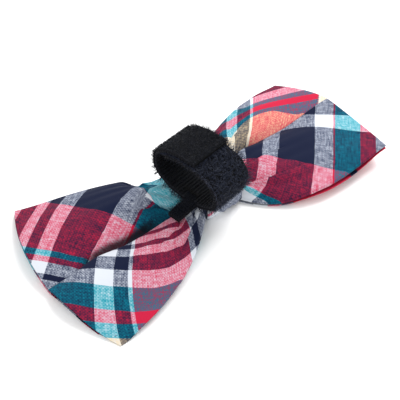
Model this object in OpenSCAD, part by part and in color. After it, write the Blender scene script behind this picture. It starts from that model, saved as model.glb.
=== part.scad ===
// Slide-on bow tie with a hook-and-loop ring on its back, lying face down.
// X runs along the bow, Y across it, Z up. All sizes in millimetres.

/* [What to draw] */
// Sub-part to draw, or all of them

/* [Bow] */
// Distance between the tips of the left and right outer edges
bow_length = 144; // [100:1:180]
// Distance between the tips of the left outer edge
left_height = 78; // [50:1:100]
// Distance between the tips of the right outer edge
right_height = 69.5; // [50:0.5:100]
// How far the middle of the left outer edge stands beyond its tips
left_bulge = 8.5; // [0:0.5:15]
// How far the middle of the right outer edge stands beyond its tips
right_bulge = 5; // [0:0.5:15]
// Cloth thickness
cloth = 0.5; // [0.3:0.05:1]
// Height of the folds in the back of the wings
fold_height = 5; // [2:0.5:8]
// How far the near tip of the right wing is lifted
tip_lift = 6.5; // [0:0.5:12]

/* [Centre band] */
// Width of the band along the bow
band_width = 18; // [12:0.5:30]
// Middle of the band along the bow
band_middle = -2.25; // [-10:0.25:10]
// Size of the band across the bow
band_across = 32; // [24:0.5:45]
// Thickness of the knot from front to back
band_height = 10.7; // [8:0.1:16]
// Thickness of the band's cloth
band_cloth = 0.8; // [0.5:0.1:1.5]
// Corner radius of the band
band_corner = 4.2; // [2:0.1:5]

/* [Strap ring] */
// Width of the tape
tape_width = 19; // [10:0.5:30]
// Thickness of one layer of tape
tape_layer = 1.2; // [0.8:0.1:2]
// Half the ring's size across the bow
ring_half_across = 15; // [10:0.5:25]
// Half the ring's height
ring_half_height = 9; // [6:0.5:15]
// Squareness of the ring, 2 for an ellipse
ring_square = 2.4; // [2:0.1:4]
// Turn of the ring about the upright axis
ring_turn = 8.8; // [-20:0.2:20]
// Place of the ring's middle along the bow
ring_x = -7.25; // [-15:0.25:15]
// Place of the ring's middle across the bow
ring_y = -5.5; // [-10:0.5:10]
// Width of the small tab
tab_width = 5.8; // [4:0.2:12]
// Length of the small tab beyond the ring
tab_length = 9.7; // [5:0.5:20]

/* [Hidden] */
tip_left = (bow_length - left_bulge + right_bulge) / 2;
tip_right = (bow_length + left_bulge - right_bulge) / 2;
waist_near = 13;
waist_far = 13.4;
waist_mid = 5.3;
band_left = band_middle - band_width / 2;
band_right = band_middle + band_width / 2;
band_y = 0.5;
ring_z = band_height + 0.1 + tape_layer + ring_half_height;
layer_gap = 0.01;
body_gap = 0.3;
flap_rise = 2 * tape_layer + body_gap;
floor_start = -125;
floor_end = -55;
wall_end = 34;
flap_end = 103;
tongue_end = 42;
fold_gap = 1.3;
row_count = 28;
col_count = 18;
thread_r = 0.25;
band_color = [0.18, 0.22, 0.35];
cloth_color = [0.62, 0.2, 0.32];
black = [0.06, 0.06, 0.07];

// Half the width of a wing towards the near side, from the waist at u = 0 to the outer edge at u = 1
function near_edge(side, u) =
    side < 0
    ? waist_near + (left_height / 2 - waist_near) * (1 - pow(1 - u, 2.2))
    : waist_near + (right_height / 2 - 0.25 - waist_near) * (1 - pow(1 - u, 5));
// Sudden widening of the left wing's far side, past the short fold beside the waist
function flare(u) = let (q = min(1, max(0, (u - 0.1) / 0.17))) 0.25 + 0.75 * q * q * (3 - 2 * q);
// The same towards the far side
function far_edge(side, u) =
    side < 0
    ? waist_far + flare(u) * (22 * (1 - pow(1 - u, 2.2)) + (left_height / 2 - waist_far - 22) * pow(u, 4))
    : waist_far + (right_height / 2 + 0.25 - waist_far) * (1 - pow(1 - u, 2));
// Place across the bow for s from -1 (near edge) to 1 (far edge)
function across(side, u, s) = s < 0 ? s * near_edge(side, u) : s * far_edge(side, u);
// Place along the bow
function along(side, u, s) =
    side < 0
    ? band_left - u * (tip_left + band_left) - left_bulge * u * u * (1 - s * s)
    : band_right + u * (tip_right - band_right) + right_bulge * u * u * (1 - s * s);
// Height of the surface between the two panels
function middle(side, u, s) =
    waist_mid - 4.1 * u + (side > 0 ? u * u * tip_lift * pow((1 - s) / 2, 1.5) : 0);
// Line of the deep fold, as a fraction of the half width
function fold_line(side, u) = side < 0 ? -4.5 / near_edge(side, u) : 5 / far_edge(side, u);
// Two lobes with the fold between them, 0 at the edges and in the fold
function lobes(side, u, s) =
    let (c = fold_line(side, u), q = s < c ? (s + 1) / (c + 1) : (1 - s) / (1 - c))
    pow(max(0, sin(180 * pow(min(1, max(0, q)), s < c ? 1.6 : 1.2))), 0.85);
function fold_rise(u) = 2.2 * (1 - u) + fold_height * (1 - exp(-u / 0.2)) * (1 - 0.4 * u);
// Outer surface of the back panel
function back_z(side, u, s) = middle(side, u, s) + 1.3 + fold_rise(u) * lobes(side, u, s);
// Outer surface of the front panel, which lies below
function front_z(side, u, s) =
    middle(side, u, s) - 0.75 - (2.6 * (1 - u) + 0.1) * (1 - s * s) * (1 - 0.45 * exp(-s * s / 0.033));

// Closed sheet between two rows-by-columns point grids of the same size
module sheet(low, high) {
    cols = len(low);
    rows = len(low[0]);
    count = cols * rows;
    points = concat([for (c = low) for (p = c) p], [for (c = high) for (p = c) p]);
    top = [
        for (i = [0:cols - 2]) for (j = [0:rows - 2]) for (k = [0, 1])
        let (a = count + i * rows + j)
        k == 0 ? [a, a + 1, a + rows] : [a + 1, a + rows + 1, a + rows]
    ];
    under = [
        for (i = [0:cols - 2]) for (j = [0:rows - 2]) for (k = [0, 1])
        let (a = i * rows + j)
        k == 0 ? [a, a + rows, a + 1] : [a + 1, a + rows, a + rows + 1]
    ];
    first = [
        for (i = [0:cols - 2]) for (k = [0, 1])
        let (a = i * rows, b = a + rows)
        k == 0 ? [a, a + count, b] : [b, a + count, b + count]
    ];
    last = [
        for (i = [0:cols - 2]) for (k = [0, 1])
        let (a = i * rows + rows - 1, b = a + rows)
        k == 0 ? [a, b, a + count] : [b, b + count, a + count]
    ];
    start = [
        for (j = [0:rows - 2]) for (k = [0, 1])
        let (a = j, b = j + 1)
        k == 0 ? [a, b, a + count] : [b, b + count, a + count]
    ];
    end = [
        for (j = [0:rows - 2]) for (k = [0, 1])
        let (a = (cols - 1) * rows + j, b = a + 1)
        k == 0 ? [a, a + count, b] : [b, a + count, b + count]
    ];
    polyhedron(points, concat(top, under, first, last, start, end), convexity = 8);
}

// Columns of a whole panel: side and u, from the left outer edge to the right one
function stations(last_u) =
    concat(
        [for (i = [col_count:-1:0]) [-1, last_u * pow(i / col_count, 1.3)]],
        [for (i = [0:col_count]) [1, last_u * pow(i / col_count, 1.3)]]
    );
function lobe_row(j, last_s) = last_s * (2 * j / row_count - 1);

module back_panel() {
    low = [for (c = stations(1)) [for (j = [0:row_count]) let (s = lobe_row(j, 1))
        [along(c[0], c[1], s), across(c[0], c[1], s), back_z(c[0], c[1], s) - cloth]]];
    high = [for (c = stations(1)) [for (j = [0:row_count]) let (s = lobe_row(j, 1))
        [along(c[0], c[1], s), across(c[0], c[1], s), back_z(c[0], c[1], s)]]];
    color(cloth_color) sheet(low, high);
}

module front_panel() {
    low = [for (c = stations(1)) [for (j = [0:row_count]) let (s = lobe_row(j, 1))
        [along(c[0], c[1], s), across(c[0], c[1], s), front_z(c[0], c[1], s)]]];
    high = [for (c = stations(1)) [for (j = [0:row_count]) let (s = lobe_row(j, 1))
        [along(c[0], c[1], s), across(c[0], c[1], s), front_z(c[0], c[1], s) + cloth]]];
    color(cloth_color) sheet(low, high);
}

module interlining() {
    low = [for (c = stations(0.92)) [for (j = [0:2:row_count]) let (s = lobe_row(j, 0.93))
        [along(c[0], c[1], s), across(c[0], c[1], s), middle(c[0], c[1], s)]]];
    high = [for (c = stations(0.92)) [for (j = [0:2:row_count]) let (s = lobe_row(j, 0.93))
        [along(c[0], c[1], s), across(c[0], c[1], s), middle(c[0], c[1], s) + 0.4]]];
    color([0.9, 0.9, 0.88]) sheet(low, high);
}

module seam_allowance(side) {
    low = [for (u = [0.935, 0.965, 0.99]) [for (j = [0:row_count]) let (s = side * lobe_row(j, 0.97))
        [along(side, u, s), across(side, u, s), middle(side, u, s) - 0.1]]];
    high = [for (u = [0.935, 0.965, 0.99]) [for (j = [0:row_count]) let (s = side * lobe_row(j, 0.97))
        [along(side, u, s), across(side, u, s), middle(side, u, s) + 0.65]]];
    color(cloth_color) sheet(low, high);
}

module left_seam_allowance() {
    seam_allowance(-1);
}

module right_seam_allowance() {
    seam_allowance(1);
}

// Rounded rectangle of the band's section, shrunk by d
function band_outline(d) =
    let (w = band_across / 2 - d, h = band_height / 2 - d, r = band_corner - d)
    [
        for (k = [[1, 1, 0], [-1, 1, 90], [-1, -1, 180], [1, -1, 270]]) for (a = [0:11.25:90])
        [band_y + k[0] * (w - r) + r * cos(a + k[2]), band_height / 2 + k[1] * (h - r) + r * sin(a + k[2])]
    ];

module band_tube(d, thickness, width) {
    translate([band_middle, 0, 0])
        rotate([90, 0, 90])
            linear_extrude(height = width, center = true)
                difference() {
                    polygon(band_outline(d));
                    polygon(band_outline(d + thickness));
                }
}

module centre_band() {
    color(band_color) band_tube(0, band_cloth, band_width);
}

module band_interfacing() {
    color([0.9, 0.9, 0.88]) band_tube(band_cloth + 0.02, 0.35, band_width - 1);
}

module gather_thread() {
    color(black)
        for (x = [-1.6, 0, 1.6])
            translate([x, 0, 0])
                band_tube(band_cloth + 0.4, 2 * thread_r, 2 * thread_r);
}

module band_closing_stitches() {
    color(band_color)
        for (i = [-3:3])
            translate([band_middle + i * 2.2, 10.2, band_height + 0.01])
                rotate([0, 0, 25])
                    translate([-0.2, -1.2, 0])
                        cube([0.4, 2.4, 0.35]);
}

// Point of the ring's section at angle t, moved outwards by d
function ring_point(t, d) =
    let (
        c = cos(t),
        s = sin(t),
        y = ring_half_across * sign(c) * pow(abs(c), 2 / ring_square),
        z = ring_half_height * sign(s) * pow(abs(s), 2 / ring_square),
        ny = sign(c) * pow(abs(c), 2 - 2 / ring_square) / ring_half_across,
        nz = sign(s) * pow(abs(s), 2 - 2 / ring_square) / ring_half_height,
        n = sqrt(ny * ny + nz * nz)
    )
    [y + d * ny / n, z + d * nz / n];
// How far the strap's middle has moved outwards at angle t on the far wall and flap
function rise(t) = let (q = min(1, max(0, (t - floor_end) / (wall_end - floor_end)))) flap_rise * q * q * (3 - 2 * q);

// One tape layer from angle t0 to t1, between d0 and d1 from the strap's middle
module tape(t0, t1, d0, d1, rises) {
    steps = ceil((t1 - t0) / 5);
    inner = [for (i = [0:steps]) let (t = t0 + (t1 - t0) * i / steps) ring_point(t, d0 + (rises ? rise(t) : 0))];
    outer = [for (i = [steps:-1:0]) let (t = t0 + (t1 - t0) * i / steps) ring_point(t, d1 + (rises ? rise(t) : 0))];
    translate([ring_x, ring_y, ring_z])
        rotate([0, 0, ring_turn])
            rotate([90, 0, 90])
                linear_extrude(height = tape_width, center = true)
                    polygon(concat(inner, outer));
}

module floor_hook() {
    color(black) tape(floor_start, floor_end, -tape_layer, -layer_gap, false);
}

module floor_pile() {
    color(black) tape(floor_start, floor_end, layer_gap, tape_layer, false);
}

module far_wall_hook() {
    color(black) tape(floor_end + fold_gap, wall_end, -tape_layer, -layer_gap, true);
}

module far_wall_pile() {
    color(black) tape(floor_end + fold_gap, wall_end, layer_gap, tape_layer, true);
}

module flap_hook() {
    color(black) tape(wall_end + fold_gap, flap_end, -tape_layer, -layer_gap, true);
}

module flap_pile() {
    color(black) tape(wall_end + fold_gap, flap_end, layer_gap, tape_layer, true);
}

module tongue_hook() {
    color(black) tape(tongue_end, 360 + floor_start - fold_gap, -tape_layer, -layer_gap, false);
}

module tongue_pile() {
    color(black) tape(tongue_end, 360 + floor_start - fold_gap, layer_gap, tape_layer, false);
}

// Block placed in the ring's own axes, with its base above the ring's lowest outer face
module ring_block(size, at) {
    translate([ring_x, ring_y, band_height + 0.1])
        rotate([0, 0, ring_turn])
            translate(at)
                cube(size);
}

module tab_hook() {
    color(black)
        ring_block([tab_length, tab_width, 0.9], [-tape_width / 2 - 0.02 - tab_length, -2.7 - tab_width / 2, 1.02]);
}

module tab_pile() {
    color(black)
        ring_block([tab_length, tab_width, 0.9], [-tape_width / 2 - 0.02 - tab_length, -2.7 - tab_width / 2, 0.1]);
}

module bar_tacks() {
    color(black)
        for (x = [-6, 6])
            for (i = [-4:4])
                ring_block([1.6, 0.4, 0.35], [x - 0.8, i * 0.9 - 0.2, 2 * tape_layer + 0.42]);
}

back_panel();
front_panel();
interlining();
left_seam_allowance();
right_seam_allowance();
gather_thread();
centre_band();
band_interfacing();
band_closing_stitches();
floor_hook();
floor_pile();
far_wall_hook();
far_wall_pile();
flap_hook();
flap_pile();
tongue_hook();
tongue_pile();
tab_hook();
tab_pile();
bar_tacks();
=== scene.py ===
import math

import bpy
import numpy as np
from mathutils import Matrix


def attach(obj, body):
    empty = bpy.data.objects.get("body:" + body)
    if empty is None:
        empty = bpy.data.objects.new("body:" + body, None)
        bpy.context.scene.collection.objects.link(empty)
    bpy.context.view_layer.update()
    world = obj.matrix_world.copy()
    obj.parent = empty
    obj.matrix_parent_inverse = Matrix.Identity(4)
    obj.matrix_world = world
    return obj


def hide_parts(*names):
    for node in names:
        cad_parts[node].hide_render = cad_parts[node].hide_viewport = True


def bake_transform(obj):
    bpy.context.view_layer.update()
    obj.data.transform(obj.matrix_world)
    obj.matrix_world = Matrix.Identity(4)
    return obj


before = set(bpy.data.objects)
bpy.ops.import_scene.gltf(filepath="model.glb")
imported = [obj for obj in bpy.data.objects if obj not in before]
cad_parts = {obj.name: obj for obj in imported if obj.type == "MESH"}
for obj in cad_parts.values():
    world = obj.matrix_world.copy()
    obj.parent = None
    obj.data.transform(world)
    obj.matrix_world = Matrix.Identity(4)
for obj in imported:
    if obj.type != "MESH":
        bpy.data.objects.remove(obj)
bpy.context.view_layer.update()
MM = 0.001
rng = np.random.default_rng(7)

# ---------------------------------------------------------------- bow shape, in millimetres
# sides are -1 for the left wing and 1 for the right; u runs from the waist (0) to the outer edge (1), s across
# (-1 to 1)
TIP_L, TIP_R = 70.25, 73.75
BAND_L, BAND_R = -11.25, 6.75
FLAT_HALF = 40.0  # half height of the flat cloth
FLAT_WAIST = 9.0  # half the flat cloth under the band
FLAT_WING = 68.0  # flat cloth from the band to the outer edge
CLOTH = 0.45  # thickness of a panel
LOWEST = 0.15  # lowest place of a panel's middle surface
TINY = 1e-6
# each pleat's place across the flat cloth and its share of the spare cloth; the first of each side is the deep fold
PLEATS = {
    -1: ((-4.5, 0.5), (13.0, 0.2), (-22.0, 0.18), (-32.0, 0.12)),
    1: ((4.0, 0.5), (-14.0, 0.13), (-27.0, 0.15), (21.0, 0.15)),
}


def smooth(x):
    """Smooth step from 0 to 1, three t squared minus two t cubed."""
    t = np.clip(x, 0, 1)
    return t * t * (3 - 2 * t)


def no_bank(u):
    """A pleat with no slope beyond it."""
    return TINY, 1.0


def left_deep(u):
    """Depth and reach of the sloping bank beyond the left wing's deep fold."""
    depth = 5.2 * smooth((0.88 - u) / 0.3) * smooth((u - 0.09) / 0.15) + TINY
    return depth, 1.2 + 6.6 * smooth((0.8 - u) / 0.35)


def left_waist(u):
    """The same for a short pleat at the left waist."""
    return 3.0 * smooth((0.26 - u) / 0.12) + TINY, 3.0


def right_deep(u):
    """The same for the right wing's deep fold."""
    return 3.0 * smooth((0.4 - u) / 0.2) + TINY, 3.6


def right_waist(u):
    """The same for a short pleat at the right waist."""
    return 2.0 * smooth((0.2 - u) / 0.12) + TINY, 2.5


BANKS = {-1: (left_deep, no_bank, left_waist, no_bank), 1: (right_deep, right_waist, no_bank, no_bank)}


def flare(u):
    """Sudden widening of the left wing's far side past the short fold at the waist: a smooth step, a quarter
    to one."""
    return 0.25 + 0.75 * smooth((u - 0.1) / 0.17)


def near_edge(side, u):
    """Half width on the near side from the waist (u = 0) to the outer edge (u = 1): one minus a power of what
    is left."""
    return 13 + 26 * (1 - (1 - u) ** 2.2) if side < 0 else 13 + 21.5 * (1 - (1 - u) ** 5)


def far_edge(side, u):
    """Half width on the far side, built the same way."""
    if side < 0:
        nick = 3.5 * np.exp(-(((u - 0.215) / 0.032) ** 2))
        return 13.4 + flare(u) * (22 * (1 - (1 - u) ** 2.2) + 3.6 * u**4) - nick
    return 13.4 + 21.6 * (1 - (1 - u) ** 2)


def front_share(side, u):
    """The front panel's near half width as a share of the back's: short on the left, a little past it on the
    right."""
    if side < 0:
        return 0.972
    return 1 + 0.03 * smooth((u - 0.25) / 0.2) * (1 - smooth((u - 0.6) / 0.35))


def across(side, u, s):
    """Place across the bow: the share s of the near or far half width."""
    return np.where(s < 0, s * near_edge(side, u), s * far_edge(side, u))


def along(side, u, s):
    """Place along the bow: straight from the band to the tips, plus a parabolic bulge of the outer edge."""
    if side < 0:
        return BAND_L - u * (TIP_L + BAND_L) - 8.5 * u * u * (1 - s * s)
    return BAND_R + u * (TIP_R - BAND_R) + 5 * u * u * (1 - s * s)


def middle(side, u, s):
    """Height between the panels: falls from the waist, and rises again towards the right wing's near tip."""
    lift = u * u * 6.5 * ((1 - s) / 2) ** 1.5 if side > 0 else 0 * s
    return 5.3 - 4.1 * u + lift


def fold_at(side, u):
    """Cross position of the deep fold between the two humps; it swings to the near side close to the waist."""
    if side < 0:
        return (-4.5 - 3.5 * smooth(u / 0.12) * smooth((0.8 - u) / 0.3)) / near_edge(side, u)
    y = 5 - 4.5 * smooth((0.3 - u) / 0.25)
    return y / far_edge(side, u)


def lobes(side, u, s):
    """Two humps side by side, each a power of a sine, with the deep fold between them."""
    c = fold_at(side, u)
    q = np.clip(np.where(s < c, (s + 1) / (c + 1), (1 - s) / (1 - c)), 0, 1)
    near = 1 - 0.35 * smooth((0.6 - u) / 0.3) if side < 0 else 1 - 0.3 * smooth((0.3 - u) / 0.25)
    hump = np.maximum(0, np.sin(np.pi * q ** np.where(s < c, 1.3, 1.2))) ** 0.85
    return hump * np.where(s < c, near, 1.0)


def edge_arch(s):
    """Height of the right wing's outer edge: a shallow sine sag from the lifted near tip to a crest past the
    middle, then
    a power-law fall to the far tip."""
    near = 8.6 - 1.3 * np.sin(np.pi * np.clip((s + 1) / 1.15, 0, 1))
    return np.where(s < 0.15, near, 8.6 - 7.3 * np.clip((s - 0.15) / 0.85, 0, 1) ** 1.4)


def droop(u, s):
    """The right wing's near edge hangs low where it leaves the band."""
    return 4.3 * smooth((0.42 - u) / 0.36) * np.clip((-s - 0.25) / 0.75, 0, 1) ** 1.5


def back_z(side, u, s):
    """Outer face: middle height plus the two humps. The right wing blends into its arched outer edge; on the
    left the
    far edge sags, with a notch where the short fold starts, and the near tip comes down to the table."""
    rise = 2.2 * (1 - u) + 5.2 * (1 - np.exp(-u / 0.2)) * (1 - 0.4 * u)
    z = middle(side, u, s) + 1.3 + rise * lobes(side, u, s)
    if side > 0:
        return z + smooth((u - 0.55) / 0.45) * (edge_arch(s) - z) - droop(u, s)
    low = 2.4 * np.sin(np.pi * np.clip(u / 1.03, 0, 1)) ** 0.7 + 1.8 * smooth((0.34 - u) / 0.1)
    sag = low * np.clip((s - 0.4) / 0.6, 0, 1) ** 1.3
    notch = 5.5 * math.exp(-(((u - 0.215) / 0.03) ** 2)) * np.clip((s - 0.55) / 0.45, 0, 1)
    return z - sag - notch - 2.8 * smooth((-s - 0.25) / 0.5) * smooth((u - 0.4) / 0.55)


def front_z(side, u, s):
    """Inner face of the same pillow: a shallow dip below the middle height."""
    dip = (2.6 * (1 - u) + 0.1) * (1 - s * s) * (1 - 0.45 * np.exp(-s * s / 0.033))
    z = middle(side, u, s) - 0.75 - dip
    if side > 0:
        return z + smooth((u - 0.78) / 0.22) * (edge_arch(s) - 1.4 - z) - droop(u, s)
    sag = 2.3 * np.sin(np.pi * np.clip(u / 1.03, 0, 1)) ** 0.7 * np.clip((s - 0.4) / 0.6, 0, 1) ** 1.3
    z = z - 0.7 * sag * smooth((u - 0.1) / 0.2)
    return z + smooth((u - 0.8) / 0.2) * (back_z(side, u, s) - 1.4 - z)


def roll(d, r):
    """Quarter-round drop within r of an edge."""
    t = np.clip((r - d) / r, 0, 1)
    return 1 - np.sqrt(np.maximum(0, 1 - t * t))


def wing(side, us, vs, top):
    """One wing of a panel: at each station u the cloth's flat height is laid along the cross-section, and what
    is left over goes down into narrow slots, the pleats. The near side of the main pleat leans over its slot and the
    far side is a sloping bank. Puckers are three sines, strongest at the waist. Returns points (stations, rows, 3) in
    millimetres and the painted shade of each point, 0 to 1: near black on the bank just past a deep fold, up to
    0.7 deep in a pleat slot."""
    ss = np.linspace(-1, 1, 601)
    out, folds = [], []
    for u in us:
        y, x = across(side, u, ss), along(side, u, ss)
        low = front_z(side, u, ss)
        z = back_z(side, u, ss) if top else low
        if not top:
            y = np.where(ss < 0, y * front_share(side, u), y)
        arc = np.concatenate([[0], np.cumsum(np.hypot(np.diff(y), np.diff(z)))])
        spare = max(0.0, 2 * FLAT_HALF - arc[-1])
        rate = np.ones_like(vs)
        slot, depth, lean, shade = (np.zeros_like(vs) for _ in range(4))
        for k, (at, share) in enumerate(PLEATS[side]):
            here = 1 - smooth((u - 0.12) / 0.4) if k else 1.0
            w = spare * share * here / 1.8 + TINY
            t = np.abs(vs - at) / w
            rate = np.where(t < 1, 0.1, rate)
            end = 1 - smooth((u - 0.7) / 0.3) if k == 0 and side > 0 else 1.0
            slot = np.maximum(slot, np.where(t < 1, min(w, 4.6) * end * (1 - np.clip(t, 0, 1) ** 1.3), 0))
            depth = np.maximum(depth, slot)
            bank, reach = BANKS[side][k](u)
            if top:
                beyond = np.maximum(vs - at - w, 0)
                depth = np.maximum(depth, np.where(vs > at, bank * np.exp(-((beyond / reach) ** 1.6)), 0))
                # Painted shade on the bank past the fold: near black for about the fold's depth beyond the slot,
                # fading over 2.2 mm, weaker for a shallow bank and near the waist.
                dark = np.where(vs > at, 1 - smooth((beyond - 0.95 * bank) / 2.2), 0)
                shade = np.maximum(shade, dark * min(1, bank / 3) * (0.15 + 0.85 * smooth((u - 0.25) / 0.14)))
                lean = lean + 1.3 * min(bank / 3, 1) * np.exp(-(((vs - at + w) / 4) ** 2)) * (vs < at)
        a = np.concatenate([[0], np.cumsum((rate[1:] + rate[:-1]) / 2 * np.diff(vs))])
        main, arc_c = np.interp(PLEATS[side][0][0], vs, a), np.interp(fold_at(side, u), ss, arc)
        a = np.where(a < main, a / main * arc_c, arc_c + (a - main) / (a[-1] - main) * (arc[-1] - arc_c))
        yy, zz, xx = np.interp(a, arc, y), np.interp(a, arc, z), np.interp(a, arc, x)
        floor_z = np.interp(a, arc, low)
        pucker = 0.5 * math.exp(-u / 0.3) * np.sin(vs * 1.05 + 2.5 * u) + 0.25 * np.sin(vs * 0.33 + 7 * u + side)
        pucker = pucker + 0.35 * math.exp(-(((u - 0.2) / 0.16) ** 2)) * np.sin(vs * 0.55 - 6 * u)
        edge = np.minimum(FLAT_HALF - np.abs(vs), FLAT_WING * (1 - u) * np.ones_like(vs))
        zz = zz + (pucker * np.clip(edge / 6, 0, 1) - depth - 0.85 * roll(edge, 1.3)) * (1 if top else -0.5)
        if top:
            zz = np.maximum(zz, floor_z + 1.3)
        out.append(np.stack([xx, yy + lean, np.maximum(zz, LOWEST)], -1))
        # Painted shade of each point: the bank's painted shade, or up to 0.7 deep in a pleat slot.
        folds.append(np.maximum(shade, np.clip((slot - 0.5) / 3, 0, 1) * 0.7))
    return np.array(out), np.array(folds)


def spaced(n):
    """Rows of the cloth, closer together at the two edges."""
    inner = np.linspace(-FLAT_HALF + 1.3, FLAT_HALF - 1.3, n - 8)
    rim = np.array([0, 0.15, 0.4, 0.8])
    return np.concatenate([-FLAT_HALF + rim, inner, (FLAT_HALF - rim)[::-1]])


# ---------------------------------------------------------------- meshes
def mesh_of(name, points, faces, uv=None, slots=None, shaded=True, fold=None):
    """Mesh object from points in millimetres and an array of quads or triangles. uv is one pair for each point and
    fold one number for each point, the painted shade in the folds, 0 to 1; slots is one material number for each
    face."""
    faces = np.asarray(faces, np.int32)
    mesh = bpy.data.meshes.new(name)
    mesh.vertices.add(len(points))
    mesh.vertices.foreach_set("co", (np.asarray(points, float) * MM).astype(np.float32).ravel())
    n, k = faces.shape
    mesh.loops.add(n * k)
    mesh.loops.foreach_set("vertex_index", faces.ravel())
    mesh.polygons.add(n)
    mesh.polygons.foreach_set("loop_start", np.arange(0, n * k, k, dtype=np.int32))
    mesh.polygons.foreach_set("loop_total", np.full(n, k, np.int32))
    if slots is not None:
        mesh.polygons.foreach_set("material_index", np.asarray(slots, np.int32))
    mesh.polygons.foreach_set("use_smooth", np.full(n, shaded))
    if uv is not None:
        layer = mesh.uv_layers.new(name="flat")
        layer.data.foreach_set("uv", np.asarray(uv, np.float32)[faces.ravel()].ravel())
    if fold is not None:
        mesh.attributes.new("fold", "FLOAT", "POINT").data.foreach_set("value", np.asarray(fold, np.float32).ravel())
    mesh.update()
    mesh.validate()
    obj = bpy.data.objects.new(name, mesh)
    bpy.context.scene.collection.objects.link(obj)
    return obj


def grid_faces(rows, cols, wrap=False, flip=False):
    """Quads of a rows-by-cols grid of points, closed round the columns if wrap."""
    i, j = np.meshgrid(np.arange(rows - 1), np.arange(cols if wrap else cols - 1), indexing="ij")
    k = (j + 1) % cols
    q = np.stack([i * cols + j, (i + 1) * cols + j, (i + 1) * cols + k, i * cols + k], -1).reshape(-1, 4)
    return q[:, ::-1] if flip else q


def solidify(obj, thickness):
    """Give a sheet a thickness in millimetres, inwards from its outer face."""
    m = obj.modifiers.new("thickness", "SOLIDIFY")
    m.thickness = thickness * MM
    m.offset = -1.0
    m.use_even_offset = False


# ---------------------------------------------------------------- plaid
def lin(r, g, b):
    """Display colour 0-255 to linear."""
    parts = (r / 255, g / 255, b / 255)
    return tuple((c / 12.92 if c <= 0.04045 else ((c + 0.055) / 1.055) ** 2.4) for c in parts) + (1.0,)


YARN = {
    "navy": lin(14, 22, 48),
    "white": lin(203, 208, 216),
    "red": lin(184, 28, 60),
    "teal": lin(0, 122, 142),
    "cream": lin(216, 192, 150),
}
RAMP_LO, RAMP_SPAN = -95.0, 190.0  # the colour ramps run from RAMP_LO over RAMP_SPAN millimetres
UV_MM = 100  # millimetres of cloth or tape for each unit of the "flat" UV map
YARN_PITCH = 0.59


def group(name, inputs, outputs):
    """New shader node group with its sockets, its input node and its output node."""
    g = bpy.data.node_groups.new(name, "ShaderNodeTree")
    for n, t in inputs:
        g.interface.new_socket(name=n, in_out="INPUT", socket_type=t)
    for n, t in outputs:
        g.interface.new_socket(name=n, in_out="OUTPUT", socket_type=t)
    return g, g.nodes.new("NodeGroupInput"), g.nodes.new("NodeGroupOutput")


def math_node(tree, op, a, b=None, c=None):
    """Math node whose inputs are numbers or sockets; returns its output."""
    n = tree.nodes.new("ShaderNodeMath")
    n.operation = op
    for i, v in enumerate((a, b, c)):
        if v is None:
            continue
        if isinstance(v, (int, float)):
            n.inputs[i].default_value = v
        else:
            tree.links.new(v, n.inputs[i])
    return n.outputs[0]


def weave_group():
    """Plain weave of two yarn colours. Each crossing shows warp or weft by the product of two sines, each crossing
    differs a little, and yarns vary in strength along their length. The colours are mixed as they are displayed, not
    as linear light. Gives the mixed colour and a height for bump."""
    g, gi, go = group(
        "plain_weave",
        [("Place", "NodeSocketVector"), ("Warp", "NodeSocketColor"), ("Weft", "NodeSocketColor")],
        [("Color", "NodeSocketColor"), ("Height", "NodeSocketFloat")],
    )
    sep = g.nodes.new("ShaderNodeSeparateXYZ")
    g.links.new(gi.outputs["Place"], sep.inputs[0])
    turns = math.pi * UV_MM / YARN_PITCH
    sx = math_node(g, "SINE", math_node(g, "MULTIPLY", sep.outputs[0], turns))
    sy = math_node(g, "SINE", math_node(g, "MULTIPLY", sep.outputs[1], turns))
    over = math_node(g, "MULTIPLY", sx, sy)
    slubs = []
    for stretch in ((22, 150, 1), (150, 22, 1)):
        m = g.nodes.new("ShaderNodeVectorMath")
        m.operation = "MULTIPLY"
        m.inputs[1].default_value = stretch
        g.links.new(gi.outputs["Place"], m.inputs[0])
        noise = g.nodes.new("ShaderNodeTexNoise")
        noise.inputs["Scale"].default_value = 1.0
        noise.inputs["Detail"].default_value = 2.0
        g.links.new(m.outputs[0], noise.inputs["Vector"])
        slubs.append(math_node(g, "SUBTRACT", noise.outputs[0], 0.5))
    cell = g.nodes.new("ShaderNodeVectorMath")
    cell.operation = "SNAP"
    cell.inputs[1].default_value = (YARN_PITCH / UV_MM, YARN_PITCH / UV_MM, 1)
    g.links.new(gi.outputs["Place"], cell.inputs[0])
    speck = g.nodes.new("ShaderNodeTexWhiteNoise")
    speck.noise_dimensions = "2D"
    g.links.new(cell.outputs[0], speck.inputs["Vector"])
    steep = math_node(g, "MULTIPLY", over, 3.0)
    crisp = math_node(g, "MINIMUM", math_node(g, "MAXIMUM", steep, -1.0), 1.0)
    factor = math_node(g, "MULTIPLY_ADD", crisp, 0.09, 0.42)
    factor = math_node(g, "MULTIPLY_ADD", speck.outputs[0], 0.15, factor)
    uneven = math_node(g, "MULTIPLY", math_node(g, "SUBTRACT", slubs[0], slubs[1]), 0.8)
    factor = math_node(g, "ADD", factor, uneven)
    # Mixing as displayed, not as linear light, darkens two-colour crossings: partly painted shade for the dark gaps
    # between the yarns.
    soft = []
    for source in ("Warp", "Weft"):
        gamma = g.nodes.new("ShaderNodeGamma")
        gamma.inputs[1].default_value = 1 / 2.2
        g.links.new(gi.outputs[source], gamma.inputs[0])
        soft.append(gamma.outputs[0])
    mix = g.nodes.new("ShaderNodeMix")
    mix.data_type = "RGBA"
    mix.clamp_factor = True
    g.links.new(factor, mix.inputs[0])
    g.links.new(soft[0], mix.inputs[6])
    g.links.new(soft[1], mix.inputs[7])
    back = g.nodes.new("ShaderNodeGamma")
    back.inputs[1].default_value = 2.2
    g.links.new(mix.outputs[2], back.inputs[0])
    g.links.new(back.outputs[0], go.inputs["Color"])
    rise = math_node(g, "ADD", math_node(g, "ABSOLUTE", sx), math_node(g, "ABSOLUTE", sy))
    height = math_node(g, "MULTIPLY_ADD", math_node(g, "ADD", slubs[0], slubs[1]), 1.5, rise)
    g.links.new(height, go.inputs["Height"])
    return g


WEAVE = weave_group()


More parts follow.
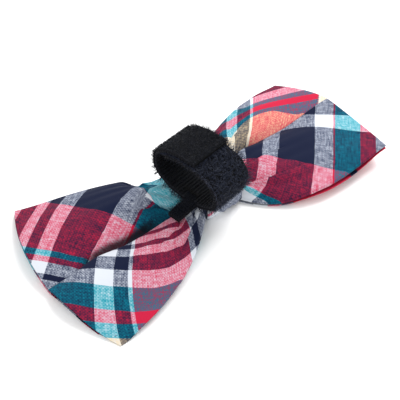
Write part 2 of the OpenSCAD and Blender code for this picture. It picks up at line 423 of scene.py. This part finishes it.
def principled(name, base, roughness, sheen=0.0):
    """Plain textile material; returns it with its node tree and its shader."""
    m = bpy.data.materials.new(name)
    m.use_nodes = True
    b = m.node_tree.nodes["Principled BSDF"]
    b.inputs["Base Color"].default_value = base
    b.inputs["Roughness"].default_value = roughness
    b.inputs["Specular IOR Level"].default_value = 0.12
    b.inputs["Sheen Weight"].default_value = sheen
    b.inputs["Sheen Roughness"].default_value = 0.5
    return m, m.node_tree, b


def stripes(tree, place, sequence):
    """Colour ramp with hard steps. sequence is (colour, where it ends, in millimetres) in rising order."""
    ramp = tree.nodes.new("ShaderNodeValToRGB")
    ramp.color_ramp.interpolation = "CONSTANT"
    elements = ramp.color_ramp.elements
    while len(elements) > 1:
        elements.remove(elements[-1])
    elements[0].position = 0
    elements[0].color = YARN[sequence[0][0]]
    for (_, start), (name, _) in zip(sequence, sequence[1:]):
        elements.new((start - RAMP_LO) / RAMP_SPAN).color = YARN[name]
    t = math_node(tree, "MULTIPLY_ADD", place, UV_MM / RAMP_SPAN, -RAMP_LO / RAMP_SPAN)
    tree.links.new(t, ramp.inputs[0])
    return ramp.outputs[0]


def plaid(name, warp, weft):
    """Yarn-dyed plaid: warp and weft stripes along the two axes of the flat cloth, woven together, with painted
    shade darkening it in the folds."""
    m, t, b = principled(name, (0.5, 0.5, 0.5, 1), 0.9, 0.03)
    uv = t.nodes.new("ShaderNodeUVMap")
    uv.uv_map = "flat"
    sep = t.nodes.new("ShaderNodeSeparateXYZ")
    t.links.new(uv.outputs[0], sep.inputs[0])
    g = t.nodes.new("ShaderNodeGroup")
    g.node_tree = WEAVE
    t.links.new(uv.outputs[0], g.inputs["Place"])
    t.links.new(stripes(t, sep.outputs[0], warp), g.inputs["Warp"])
    t.links.new(stripes(t, sep.outputs[1], weft), g.inputs["Weft"])
    # Painted shade: the fold attribute pulls the woven colour up to 0.93 of the way to near black.
    fold = t.nodes.new("ShaderNodeAttribute")
    fold.attribute_name = "fold"
    dark = t.nodes.new("ShaderNodeMix")
    dark.data_type = "RGBA"
    t.links.new(math_node(t, "MULTIPLY", fold.outputs["Fac"], 0.93), dark.inputs[0])
    t.links.new(g.outputs["Color"], dark.inputs[6])
    dark.inputs[7].default_value = (0.003, 0.003, 0.006, 1)
    t.links.new(dark.outputs[2], b.inputs["Base Color"])
    bump = t.nodes.new("ShaderNodeBump")
    bump.inputs["Strength"].default_value = 0.25
    bump.inputs["Distance"].default_value = 0.0001
    t.links.new(g.outputs["Height"], bump.inputs["Height"])
    t.links.new(bump.outputs[0], b.inputs["Normal"])
    return m


N, W, R, T, C = "navy", "white", "red", "teal", "cream"
END = 200
# stripes of each part of the cloth, warp first, then weft: (yarn, where its stripe ends)
SETTS = {
    "left_near": (
        (
            (C, -79.5), (T, -74), (R, -69), (T, -59.7), (W, -53), (N, -46.3), (W, -42.3), (N, -39),
            (W, -34.5), (N, -32), (W, -27), (R, END),
        ),
        ((N, -34.2), (W, -27.5), (N, -22.7), (W, -21.5), (R, 7), (W, 11), (N, 15), (W, 22), (N, END)),
    ),
    "left_far": (
        ((W, -55.6), (N, -52.7), (W, -48.4), (R, -46.4), (T, -43.8), (R, -21.6), (N, 12), (W, END)),
        (
            (W, -75.8), (N, -70.3), (W, -65.7), (N, -61.2), (W, -55.3), (N, -42.2), (W, -35.5), (R, -34.2),
            (T, -16), (R, -10), (W, -5), (N, END),
        ),
    ),
    "right_near": (
        ((W, -17), (T, -14), (R, 8.5), (N, 34), (W, 44.5), (N, END)),
        (
            (N, 16), (W, 21.5), (N, 27.7), (W, 34.6), (N, 49.5), (W, 57.2), (R, 58.2), (T, 70), (R, 77.2),
            (W, END),
        ),
    ),
    "right_far": (
        ((C, 44), (T, 47.5), (R, 52.5), (T, 58), (W, 68), (N, END)),
        ((N, -1.5), (W, 5), (N, 12.3), (W, 13.4), (R, 46), (W, END)),
    ),
    "front": (
        (
            (N, -70), (W, -63), (R, -50), (W, -46), (T, -33), (N, -20), (W, -14), (T, -11), (R, 9),
            (N, 13), (R, 27), (N, 40), (W, 47), (T, 60), (R, END),
        ),
        (
            (R, -70), (T, -57), (W, -50), (N, -37), (R, -24), (W, -18), (N, -5), (T, 8), (W, 14), (N, 28),
            (R, 33), (W, 40), (R, 66), (N, 69), (R, END),
        ),
    ),
}


def yarns(side, flat_u, flat_v):
    """Warp and weft coordinates of bias-cut cloth at a flat place: the place turned by 45 degrees, plus the bends,
    steps and stretches that each half of a wing shows where its cloth is pulled into the folds.
    Returns (p, q, far) where far marks the half beyond the deep fold."""
    p, q = (flat_u + flat_v) / math.sqrt(2), (flat_u - flat_v) / math.sqrt(2)
    far = flat_v > PLEATS[side][0][0]
    if side < 0:
        bend = np.where(q > -17, 0.0095, 0.0045) * (q + 17) ** 2
        near = (p - bend, q + 0.09 * (p + 65))
        lean = 0.05 + 0.1 * np.clip((p + 45) / 24, 0, 1)
        jump = 18.5 * np.clip((q + 35) / 2, 0, 1) * np.clip((p + 15) / 3, 0, 1)
        short = 15 * smooth((flat_u + 26) / 2.5) * smooth((flat_v - 12) / 4)
        away = (p + lean * (q + 35) + jump, q + (0.2 - 0.0073 * (q + 75)) * (p + 43) + short)
    else:
        near = (p, q + 0.05 * (p - 20))
        drawn = p + 9.5 - 24.5 * (1 - np.exp(-np.maximum(0, q - 1) / 22)) + 1.5 * np.exp(-(((q - 4) / 5) ** 2))
        drawn = np.where(drawn > 44, 44 + (drawn - 44) * (0.6 + 0.4 * smooth((q - 2) / 10)), drawn)
        widen = 1 + 1.9 * smooth((q - 22) / 16)
        drawn = np.where(drawn < 47.5, 47.5 - (47.5 - drawn) / widen, drawn)
        away = (np.where(q > 46, 40, drawn), q)
    return np.where(far, away[0], near[0]), np.where(far, away[1], near[1]), far


def panel(name, top):
    """A whole panel: left wing, waist and right wing in one grid, with the flat yarn coordinates as its UV map."""
    vs = spaced(209)
    us = np.concatenate([np.linspace(0, 1, 74) ** 1.25, [0.9935, 0.997, 1.0]])
    us = np.unique(np.round(us, 5))
    parts, coords, fars, folds = [], [], [], []
    for side in (-1, 1):
        order = us[::-1] if side < 0 else us
        # wing also gives the painted shade of each point in the folds, which goes on the mesh for the plaid.
        points, fold = wing(side, order, vs, top)
        parts.append(points)
        folds.append(fold)
        fu, fv = np.meshgrid(side * (FLAT_WAIST + FLAT_WING * order), vs, indexing="ij")
        p, q, far = yarns(side, fu, fv)
        if not top:
            p, q = (fu + fv) / math.sqrt(2), (fu - fv) / math.sqrt(2)
        coords.append(np.stack([p, q], -1) / UV_MM)
        fars.append(far.astype(int) + (0 if side < 0 else 2))
    points, coords, fars = np.concatenate(parts), np.concatenate(coords), np.concatenate(fars)
    rows, cols = points.shape[:2]
    faces = grid_faces(rows, cols, flip=top)
    slots = fars[:-1, :-1].ravel() if top else np.zeros(len(faces), int)
    return mesh_of(name, points.reshape(-1, 3), faces, coords.reshape(-1, 2), slots, fold=np.concatenate(folds))


back = panel("back_cloth", True)
for key in ("left_near", "left_far", "right_near", "right_far"):
    back.data.materials.append(plaid("plaid_" + key, *SETTS[key]))
front = panel("front_cloth", False)
front.data.materials.append(plaid("plaid_front", *SETTS["front"]))
for obj, node in ((back, "back_panel"), (front, "front_panel")):
    solidify(obj, CLOTH)
    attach(obj, "bow")
    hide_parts(node)


def lining(side, u0, u1, s1, rise):
    """Thin layer inside a wing, following the front panel's height plus a constant rise."""
    us, ss = np.linspace(u0, u1, 30), np.linspace(-s1, s1, 60)
    rows = []
    for u in us:
        z = np.maximum(front_z(side, u, ss), LOWEST) + rise
        rows.append(np.stack([along(side, u, ss), across(side, u, ss), z], -1))
    return np.array(rows if side > 0 else rows[::-1])


LINING = principled("lining", lin(226, 226, 220), 0.9)[0]
SEAM = principled("seam_cloth", lin(120, 60, 90), 0.9)[0]


def layer_piece(name, points, thick, node, mat):
    """Grid piece of even thickness standing in for one CAD node."""
    rows, cols = points.shape[:2]
    obj = mesh_of(name, points.reshape(-1, 3), grid_faces(rows, cols, flip=True))
    obj.data.materials.append(mat)
    solidify(obj, thick)
    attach(obj, "bow")
    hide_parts(node)
    return obj


inner = np.concatenate([lining(-1, 0.0, 0.84, 0.86, 0.72), lining(1, 0.0, 0.84, 0.86, 0.72)])
inner_obj = layer_piece("lining_cloth", inner, 0.2, "interlining", LINING)
for side, tag in ((-1, "left"), (1, "right")):
    strip_pts = lining(side, 0.865, 0.965, 0.9, 0.8)
    layer_piece(tag + "_seam_cloth", strip_pts, 0.25, tag + "_seam_allowance", SEAM)


# ---------------------------------------------------------------- centre band
BAND_HALF = 9.0
BAND_MID = (-2.25, 0.5)


def band():
    """Rounded rectangle swept along the bow, its corners quarter circles; the cloth swells a little between
    its edges
    and has a few soft creases running round it. r is the corner radius, w and h the half width and half height."""
    n, r, w, h = 18, 4.2, 16.0, 5.35
    loop = []
    for sx, sy, a0 in ((1, 1, 0), (-1, 1, 90), (-1, -1, 180), (1, -1, 270)):
        a = np.radians(np.linspace(0, 90, n) + a0)
        loop.append(np.stack([sx * (w - r) + r * np.cos(a), h + sy * (h - r) + r * np.sin(a)], -1))
    loop = np.concatenate(loop)
    ends = np.roll(loop, -1, 0)
    loop = np.concatenate([loop + (ends - loop) * k for k in (0, 1 / 3, 2 / 3)], 1).reshape(-1, 2)
    out = loop - [0, h]
    normal = out / [w, h]
    normal = normal / np.linalg.norm(normal, axis=1, keepdims=True)
    run = np.concatenate([[0], np.cumsum(np.linalg.norm(np.diff(loop, axis=0), axis=1))])
    xs = np.concatenate([[-9, -8.95, -8.8, -8.5], np.linspace(-8, 8, 41), [8.5, 8.8, 8.95, 9]])
    d = BAND_HALF - np.abs(xs)
    shrink = 0.75 * roll(d, 0.9) + 0.25 * (xs / BAND_HALF) ** 2
    crease = 0.22 * np.abs(np.sin(xs * 0.52 + 0.4)) + 0.1 * np.sin(xs * 1.9)
    side_only = np.clip((np.abs(out[:, 0]) - 9) / 5, 0, 1)
    offset = -shrink[:, None] - (crease[:, None] * (0.3 + side_only[None]))
    yz = loop[None] + normal[None] * offset[..., None]
    places = np.broadcast_to(xs[:, None, None] + BAND_MID[0], (len(xs), len(loop), 1))
    points = np.concatenate([places, yz + [BAND_MID[1], 0]], -1)
    p, q = (xs[:, None] + run[None]) / math.sqrt(2), (run[None] - xs[:, None]) / math.sqrt(2)
    faces = grid_faces(len(xs), len(loop), wrap=True, flip=True)
    return mesh_of("band_cloth", points.reshape(-1, 3), faces, np.stack([p, q], -1).reshape(-1, 2) / UV_MM)


band_obj = band()
band_obj.data.materials.append(
    plaid(
        "plaid_band",
        ((W, 6), (N, 9), (W, 20), (R, 21.5), (W, 33), (N, 44), (W, 58), (T, 62), (W, END)),
        ((N, 10), (W, 13), (N, 30), (W, 35), (N, END)),
    )
)
solidify(band_obj, 0.7)
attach(band_obj, "bow")
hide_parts("centre_band")

# ---------------------------------------------------------------- strap ring
RING = (-7.25, -5.5, 21.0)  # centre of the ring
TURN = math.radians(8.8)  # its turn about the vertical
TAPE_WIDTH = 19.0
TAB_WIDTH = 5.8
SELVEDGE = 0.6
HALF_A, HALF_B, SQUARE = 15.0, 9.0, 2.4
FLAP_RISE = 2.7


def ring_point(t, d):
    """Point of the ring's section, a superellipse, at angle t in degrees, moved outwards by d along its normal."""
    c, s = np.cos(np.radians(t)), np.sin(np.radians(t))
    y = HALF_A * np.sign(c) * np.abs(c) ** (2 / SQUARE)
    z = HALF_B * np.sign(s) * np.abs(s) ** (2 / SQUARE)
    ny = np.sign(c) * np.abs(c) ** (2 - 2 / SQUARE) / HALF_A
    nz = np.sign(s) * np.abs(s) ** (2 - 2 / SQUARE) / HALF_B
    n = np.hypot(ny, nz)
    return np.stack([y + d * ny / n, z + d * nz / n], -1)


def strap_rise(t):
    """How far the strap runs outside the inner layer at angle t: a smooth step up to the flap's rise."""
    return FLAP_RISE * smooth((t + 55) / 89)


def ring_place(w, yz):
    """Width place w and section place (y, z) in the ring's own axes, to the row frame."""
    x = RING[0] + w * math.cos(TURN) - yz[..., 0] * math.sin(TURN)
    y = RING[1] + w * math.sin(TURN) + yz[..., 0] * math.cos(TURN)
    return np.stack([x, y, RING[2] + yz[..., 1]], -1)


def tape_path(t0, t1, rises, n=160):
    """Points along the strap's middle line at even steps of length, with their outward normals and the length
    so far."""
    t = np.linspace(t0, t1, 900)
    rise = strap_rise(t) if rises else 0 * t
    mid = ring_point(t, rise)
    out = ring_point(t, rise + 1) - mid
    run = np.concatenate([[0], np.cumsum(np.linalg.norm(np.diff(mid, axis=0), axis=1))])
    at = np.linspace(0, run[-1], n)
    even_mid, normal = (np.stack([np.interp(at, run, a[:, k]) for k in range(2)], -1) for a in (mid, out))
    return even_mid, normal / np.linalg.norm(normal, axis=1, keepdims=True), at


def strip(name, path, normal, run, d0, d1, width, place=ring_place, ripple=0.0):
    """Closed strip of tape: a thin rounded rectangle swept along a path, its two ends rounded over and closed."""
    half, mid, thick = width / 2, (d0 + d1) / 2, (d1 - d0) / 2
    a = np.radians(np.linspace(-90, 90, 7))
    face = np.linspace(half - thick, thick - half, 13)[1:-1]
    back_face = np.linspace(thick - half, half - thick, 13)[1:-1]
    wr = np.concatenate([half - thick + thick * np.cos(a), face, thick - half - thick * np.cos(a[::-1]), back_face])
    dr = np.concatenate([thick * np.sin(a), np.full(11, thick), thick * np.sin(a[::-1]), np.full(11, -thick)])
    n, k = len(path), len(wr)
    ends = np.minimum(run, run[-1] - run)
    scale = np.sqrt(np.clip(1 - (1 - np.clip(ends / thick, 0.02, 1)) ** 2, 0, 1))[:, None]
    wave = ripple * np.sin(run * 0.9)[:, None] * (wr / half)[None] ** 2
    dd = mid + dr[None] * scale + wave
    yz = path[:, None] + normal[:, None] * dd[..., None]
    points = place(np.broadcast_to(wr[None], (n, k)), yz).reshape(-1, 3)
    uv = np.stack(np.broadcast_arrays(wr[None], run[:, None]), -1).reshape(-1, 2) / UV_MM
    centre = np.array([points[:k].mean(0), points[-k:].mean(0)])
    faces = grid_faces(n, k, wrap=True)
    j = np.arange(k)
    cap0 = np.stack([j, (j + 1) % k, np.full(k, n * k), np.full(k, n * k)], -1)
    cap1 = np.stack([(n - 1) * k + (j + 1) % k, (n - 1) * k + j, np.full(k, n * k + 1), np.full(k, n * k + 1)], -1)
    points = np.concatenate([points, centre])
    uv = np.concatenate([uv, [[0, 0], [0, run[-1] / UV_MM]]])
    tris = np.concatenate([faces[:, [0, 1, 2]], faces[:, [0, 2, 3]], cap0[:, :3], cap1[:, :3]])
    return mesh_of(name, points, tris, uv)


def fibres(name, line, base, outward, width, count, height, curl, thick, rows=0.0, place=ring_place):
    """Many short bent fibres standing on a tape face, whose line is (path, normal, run). Each is a two-step ribbon:
    root, knee and tip, computed for all fibres at once; rows snaps them to lines across the tape."""
    path, normal, run = line
    s = rng.random(count) * run[-1]
    w = (rng.random(count) - 0.5) * (width - 0.4)
    if rows:
        s = (np.floor(s / rows) + 0.5) * rows + rng.normal(0, 0.06, count)
    s = np.clip(s, 0.1, run[-1] - 0.1)
    mid = np.stack([np.interp(s, run, path[:, k]) for k in range(2)], -1)
    out = np.stack([np.interp(s, run, normal[:, k]) for k in range(2)], -1) * outward
    tangent = np.stack([out[:, 1], -out[:, 0]], -1)
    h = height * (0.55 + 0.75 * rng.random(count))
    lean = rng.normal(0, curl, (count, 2))
    rim = rng.random(count) < 0.07
    w = np.where(rim, np.sign(w) * (width / 2 - 0.15), w)
    lean[:, 1] = np.where(rim, np.sign(w) * (0.5 + 0.9 * rng.random(count)), lean[:, 1])
    turn = rng.random(count) * math.pi
    root = mid + out * (outward * base)
    pts = []
    for lift, bend in ((-0.05, 0.0), (0.7, 0.45), (1.0, 1.25)):
        c = root + out * (h * lift)[:, None] + tangent * (lean[:, 0] * h * bend)[:, None]
        cw = w + lean[:, 1] * h * bend
        for k in (-1, 1):
            t = thick * (0.25 if bend > 1 else 0.5) * k
            pts.append(place(cw + t * np.cos(turn), c + tangent * (t * np.sin(turn))[:, None]))
    points = np.stack(pts, 1)
    b = np.arange(count)[:, None] * 6
    quads = np.concatenate([b + [0, 1, 3, 2], b + [2, 3, 5, 4]])
    uv = np.repeat(np.stack([w, s], -1) / UV_MM, 6, 0)
    return mesh_of(name, points.reshape(-1, 3), quads, uv, shaded=False)


def nap_group():
    """Short black nap: clumpy brightness and height from two noises in object space."""
    outputs = [("Shade", "NodeSocketFloat"), ("Height", "NodeSocketFloat")]
    g, gi, go = group("nap", [("Place", "NodeSocketVector")], outputs)
    parts = []
    for scale, detail in ((900, 3), (2600, 2)):
        noise = g.nodes.new("ShaderNodeTexNoise")
        noise.inputs["Scale"].default_value = scale
        noise.inputs["Detail"].default_value = detail
        g.links.new(gi.outputs["Place"], noise.inputs["Vector"])
        parts.append(noise.outputs[0])
    total = math_node(g, "MULTIPLY_ADD", parts[1], 0.6, math_node(g, "MULTIPLY", parts[0], 0.6))
    g.links.new(total, go.inputs["Shade"])
    g.links.new(total, go.inputs["Height"])
    return g


NAP = nap_group()


def tape_material(name, dark, pale, ribs=0.0):
    """Black tape face: nap shading, paler woven selvedge at both edges, and ribs across the tape where asked."""
    m, t, b = principled(name, dark, 0.85, 0.03)
    coord = t.nodes.new("ShaderNodeTexCoord")
    g = t.nodes.new("ShaderNodeGroup")
    g.node_tree = NAP
    t.links.new(coord.outputs["Object"], g.inputs["Place"])
    uv = t.nodes.new("ShaderNodeUVMap")
    uv.uv_map = "flat"
    sep = t.nodes.new("ShaderNodeSeparateXYZ")
    t.links.new(uv.outputs[0], sep.inputs[0])
    far = math_node(t, "ABSOLUTE", math_node(t, "MULTIPLY", sep.outputs[0], UV_MM))
    rim = math_node(t, "GREATER_THAN", far, TAPE_WIDTH / 2 - SELVEDGE)
    shade = math_node(t, "SUBTRACT", g.outputs["Shade"], 0.35)
    height = g.outputs["Height"]
    if ribs:
        wave = math_node(t, "SINE", math_node(t, "MULTIPLY", sep.outputs[1], 2 * math.pi * UV_MM / ribs))
        shade = math_node(t, "MULTIPLY_ADD", wave, 0.25, shade)
        height = math_node(t, "MULTIPLY_ADD", wave, 0.6, height)
    mix = t.nodes.new("ShaderNodeMix")
    mix.data_type = "RGBA"
    t.links.new(math_node(t, "MAXIMUM", shade, math_node(t, "MULTIPLY", rim, 0.9)), mix.inputs[0])
    mix.inputs[6].default_value = dark
    mix.inputs[7].default_value = pale
    t.links.new(mix.outputs[2], b.inputs["Base Color"])
    bump = t.nodes.new("ShaderNodeBump")
    bump.inputs["Strength"].default_value = 0.7
    bump.inputs["Distance"].default_value = 0.0004
    t.links.new(height, bump.inputs["Height"])
    t.links.new(bump.outputs[0], b.inputs["Normal"])
    return m


PILE = tape_material("pile", lin(2, 3, 6), lin(10, 12, 19))
RIB = 1.5
HOOK = tape_material("hook_face", lin(2, 3, 5), lin(18, 20, 26), ribs=RIB)
FIBRE = principled("fibre", lin(16, 20, 30), 0.45, 0.03)[0]
# Loop fibres are paler than the black tape: partly their own grey, partly painted highlight for light catching the
# loops.
LOOPS = principled("loop_fibre_with_painted_highlight", lin(35, 40, 55), 0.45, 0.03)[0]

FLOOR_MID, WALL_MID = -90.0, -8.0
# start and end angle, whether it climbs outside the inner layer, two body names and two places in the
# ring's section, which bend takes but does not use,
# and the CAD nodes it stands for
PIECES = {
    "far": (FLOOR_MID, WALL_MID, True, "bow", "far_wall", (9.0, -8.8), (9.0, -3.6), ("floor", "far_wall")),
    "over": (WALL_MID - 3.0, 103.0, True, "far_wall", "flap", (16.8, 1.6), (8.0, 11.4), ("flap",)),
    "tongue": (FLOOR_MID + 3.5, -318.0, False, "bow", "tongue", (-9.0, -8.8), (-9.0, -3.6), ("tongue",)),
}


def bend(obj, a, b, start, end):
    """Bake a strap piece's placement into its mesh; a, b, start and end are not used."""
    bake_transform(obj)


for key, (t0, t1, rises, body_a, body_b, start, end, nodes) in PIECES.items():
    path, normal, run = tape_path(t0, t1, rises)
    for layer, d0, d1, mat in (("pile", 0.02, 1.05, PILE), ("hook", -1.05, -0.02, HOOK)):
        obj = strip(f"strap_{key}_{layer}", path, normal, run, d0, d1, TAPE_WIDTH, ripple=0.12)
        obj.data.materials.append(mat)
        bend(obj, body_a, body_b, start, end)
        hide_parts(*(f"{n}_{layer}" for n in nodes))
    # fibres for 60 mm of tape, their height, curl, thickness and spacing in rows; the flap's felt is short and
    # unordered
    felt = key == "over"
    pile_face = (11000, 0.6, 0.75, 0.12, 0.0) if felt else (7500, 1.15, 0.75, 0.17, 1.1)
    hook_face = (4200, 0.8, 0.35, 0.12, RIB)
    for layer, out, (many, height, curl, thick, spacing), mat in (
        ("pile", 1, pile_face, FIBRE if felt else LOOPS),
        ("hook", -1, hook_face, FIBRE),
    ):
        count, line = int(many * run[-1] / 60), (path, normal, run)
        obj = fibres(
            f"strap_{key}_{layer}_fibres", line, 1.0 * out, out, TAPE_WIDTH, count, height, curl, thick, spacing
        )
        obj.data.materials.append(mat)
        bend(obj, body_a, body_b, start, end)


def tab_place(w, yz):
    """Tab axes to the row frame: yz is (length out from the ring's floor, height), w across the tab."""
    local = np.stack([-9.5 - yz[..., 0], -2.7 + w], -1)
    x = RING[0] + local[..., 0] * math.cos(TURN) - local[..., 1] * math.sin(TURN)
    y = RING[1] + local[..., 0] * math.sin(TURN) + local[..., 1] * math.cos(TURN)
    return np.stack([x, y, 11.7 + yz[..., 1]], -1)


TAB_LENGTH = 9.9
tab_s = np.linspace(-2.5, TAB_LENGTH, 60)
tab_line = np.stack([tab_s, -0.35 * (np.clip(tab_s, 0, None) / TAB_LENGTH) ** 2 * 2], -1)
tab_out = np.stack([0 * tab_s, 1 + 0 * tab_s], -1)
tab_run = tab_s - tab_s[0]
for layer, d0, d1, mat in (("pile", -0.95, -0.02, PILE), ("hook", 0.0, 0.95, HOOK)):
    obj = strip(f"tab_{layer}_strip", tab_line, tab_out, tab_run, d0, d1, TAB_WIDTH, place=tab_place)
    obj.data.materials.append(mat)
    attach(obj, "bow")
    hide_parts(f"tab_{layer}")
obj = fibres(
    "tab_fibres", (tab_line, tab_out, tab_run), 0.95, 1, TAB_WIDTH, 1500, 0.8, 0.9, 0.12, place=tab_place
)
obj.data.materials.append(FIBRE)
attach(obj, "bow")

# ---------------------------------------------------------------- hidden pieces kept from the CAD
THREAD = principled("black_thread", lin(14, 14, 16), 0.6)[0]
NAVY_THREAD = principled("navy_thread", lin(34, 42, 76), 0.6)[0]
for node, mat in (
    ("band_interfacing", LINING),
    ("gather_thread", THREAD),
    ("bar_tacks", THREAD),
    ("band_closing_stitches", NAVY_THREAD),
):
    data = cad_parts[node].data
    data.materials.clear()
    data.materials.append(mat)

# ---------------------------------------------------------------- stage, light and camera
TABLE = 900
corners = [(TABLE * a, TABLE * b, 0) for a, b in ((-1, -1), (1, -1), (1, 1), (-1, 1))]
floor = mesh_of("floor", corners, [(0, 1, 2, 3)], shaded=False)
floor.data.materials.append(principled("white_table", (1.0, 1.0, 1.0, 1), 1.0)[0])

ELEV, AZIM = math.radians(46.8), math.radians(-38.9)
TARGET, DISTANCE = (-5.55, -2.2, 0), 254.0
right_v = np.array([math.cos(AZIM), math.sin(AZIM), 0])
back_v = np.array([math.sin(AZIM) * math.cos(ELEV), -math.cos(AZIM) * math.cos(ELEV), math.sin(ELEV)])
up_v = np.cross(back_v, right_v)
eye = (np.array(TARGET) + back_v * DISTANCE) * MM
camera = bpy.data.objects.new("camera", bpy.data.cameras.new("camera"))
bpy.context.scene.collection.objects.link(camera)
camera.data.lens = 54.0
camera.data.sensor_width = 36.0
camera.data.clip_start = 0.01


def placed(axes, at):
    """World matrix from three unit axes and a place in metres."""
    turned = np.stack(axes, 1)
    return Matrix([list(turned[i]) + [at[i]] for i in range(3)] + [[0, 0, 0, 1]])


camera.matrix_world = placed((right_v, up_v, back_v), eye)
bpy.context.scene.camera = camera


def area_light(name, place, size, watts):
    """Square soft light at a place in millimetres, aimed at the middle of the bow."""
    d = bpy.data.lights.new(name, "AREA")
    d.size, d.energy = size * MM, watts
    o = bpy.data.objects.new(name, d)
    bpy.context.scene.collection.objects.link(o)
    z = np.array(place, float) / np.linalg.norm(place)
    x = np.cross([0, 0, 1.0], z)
    x = x / np.linalg.norm(x)
    o.matrix_world = placed((x, np.cross(z, x), z), np.array(place) * MM)


area_light("key", (380, 120, 470), 360, 3.5)
area_light("fill", (-420, -200, 420), 500, 0.6)
world = bpy.data.worlds.new("white_room")
bpy.context.scene.world = world
world.use_nodes = True
world.node_tree.nodes["Background"].inputs[0].default_value = (1, 1, 1, 1)
world.node_tree.nodes["Background"].inputs[1].default_value = 0.92
bpy.context.scene.view_settings.view_transform = "Standard"
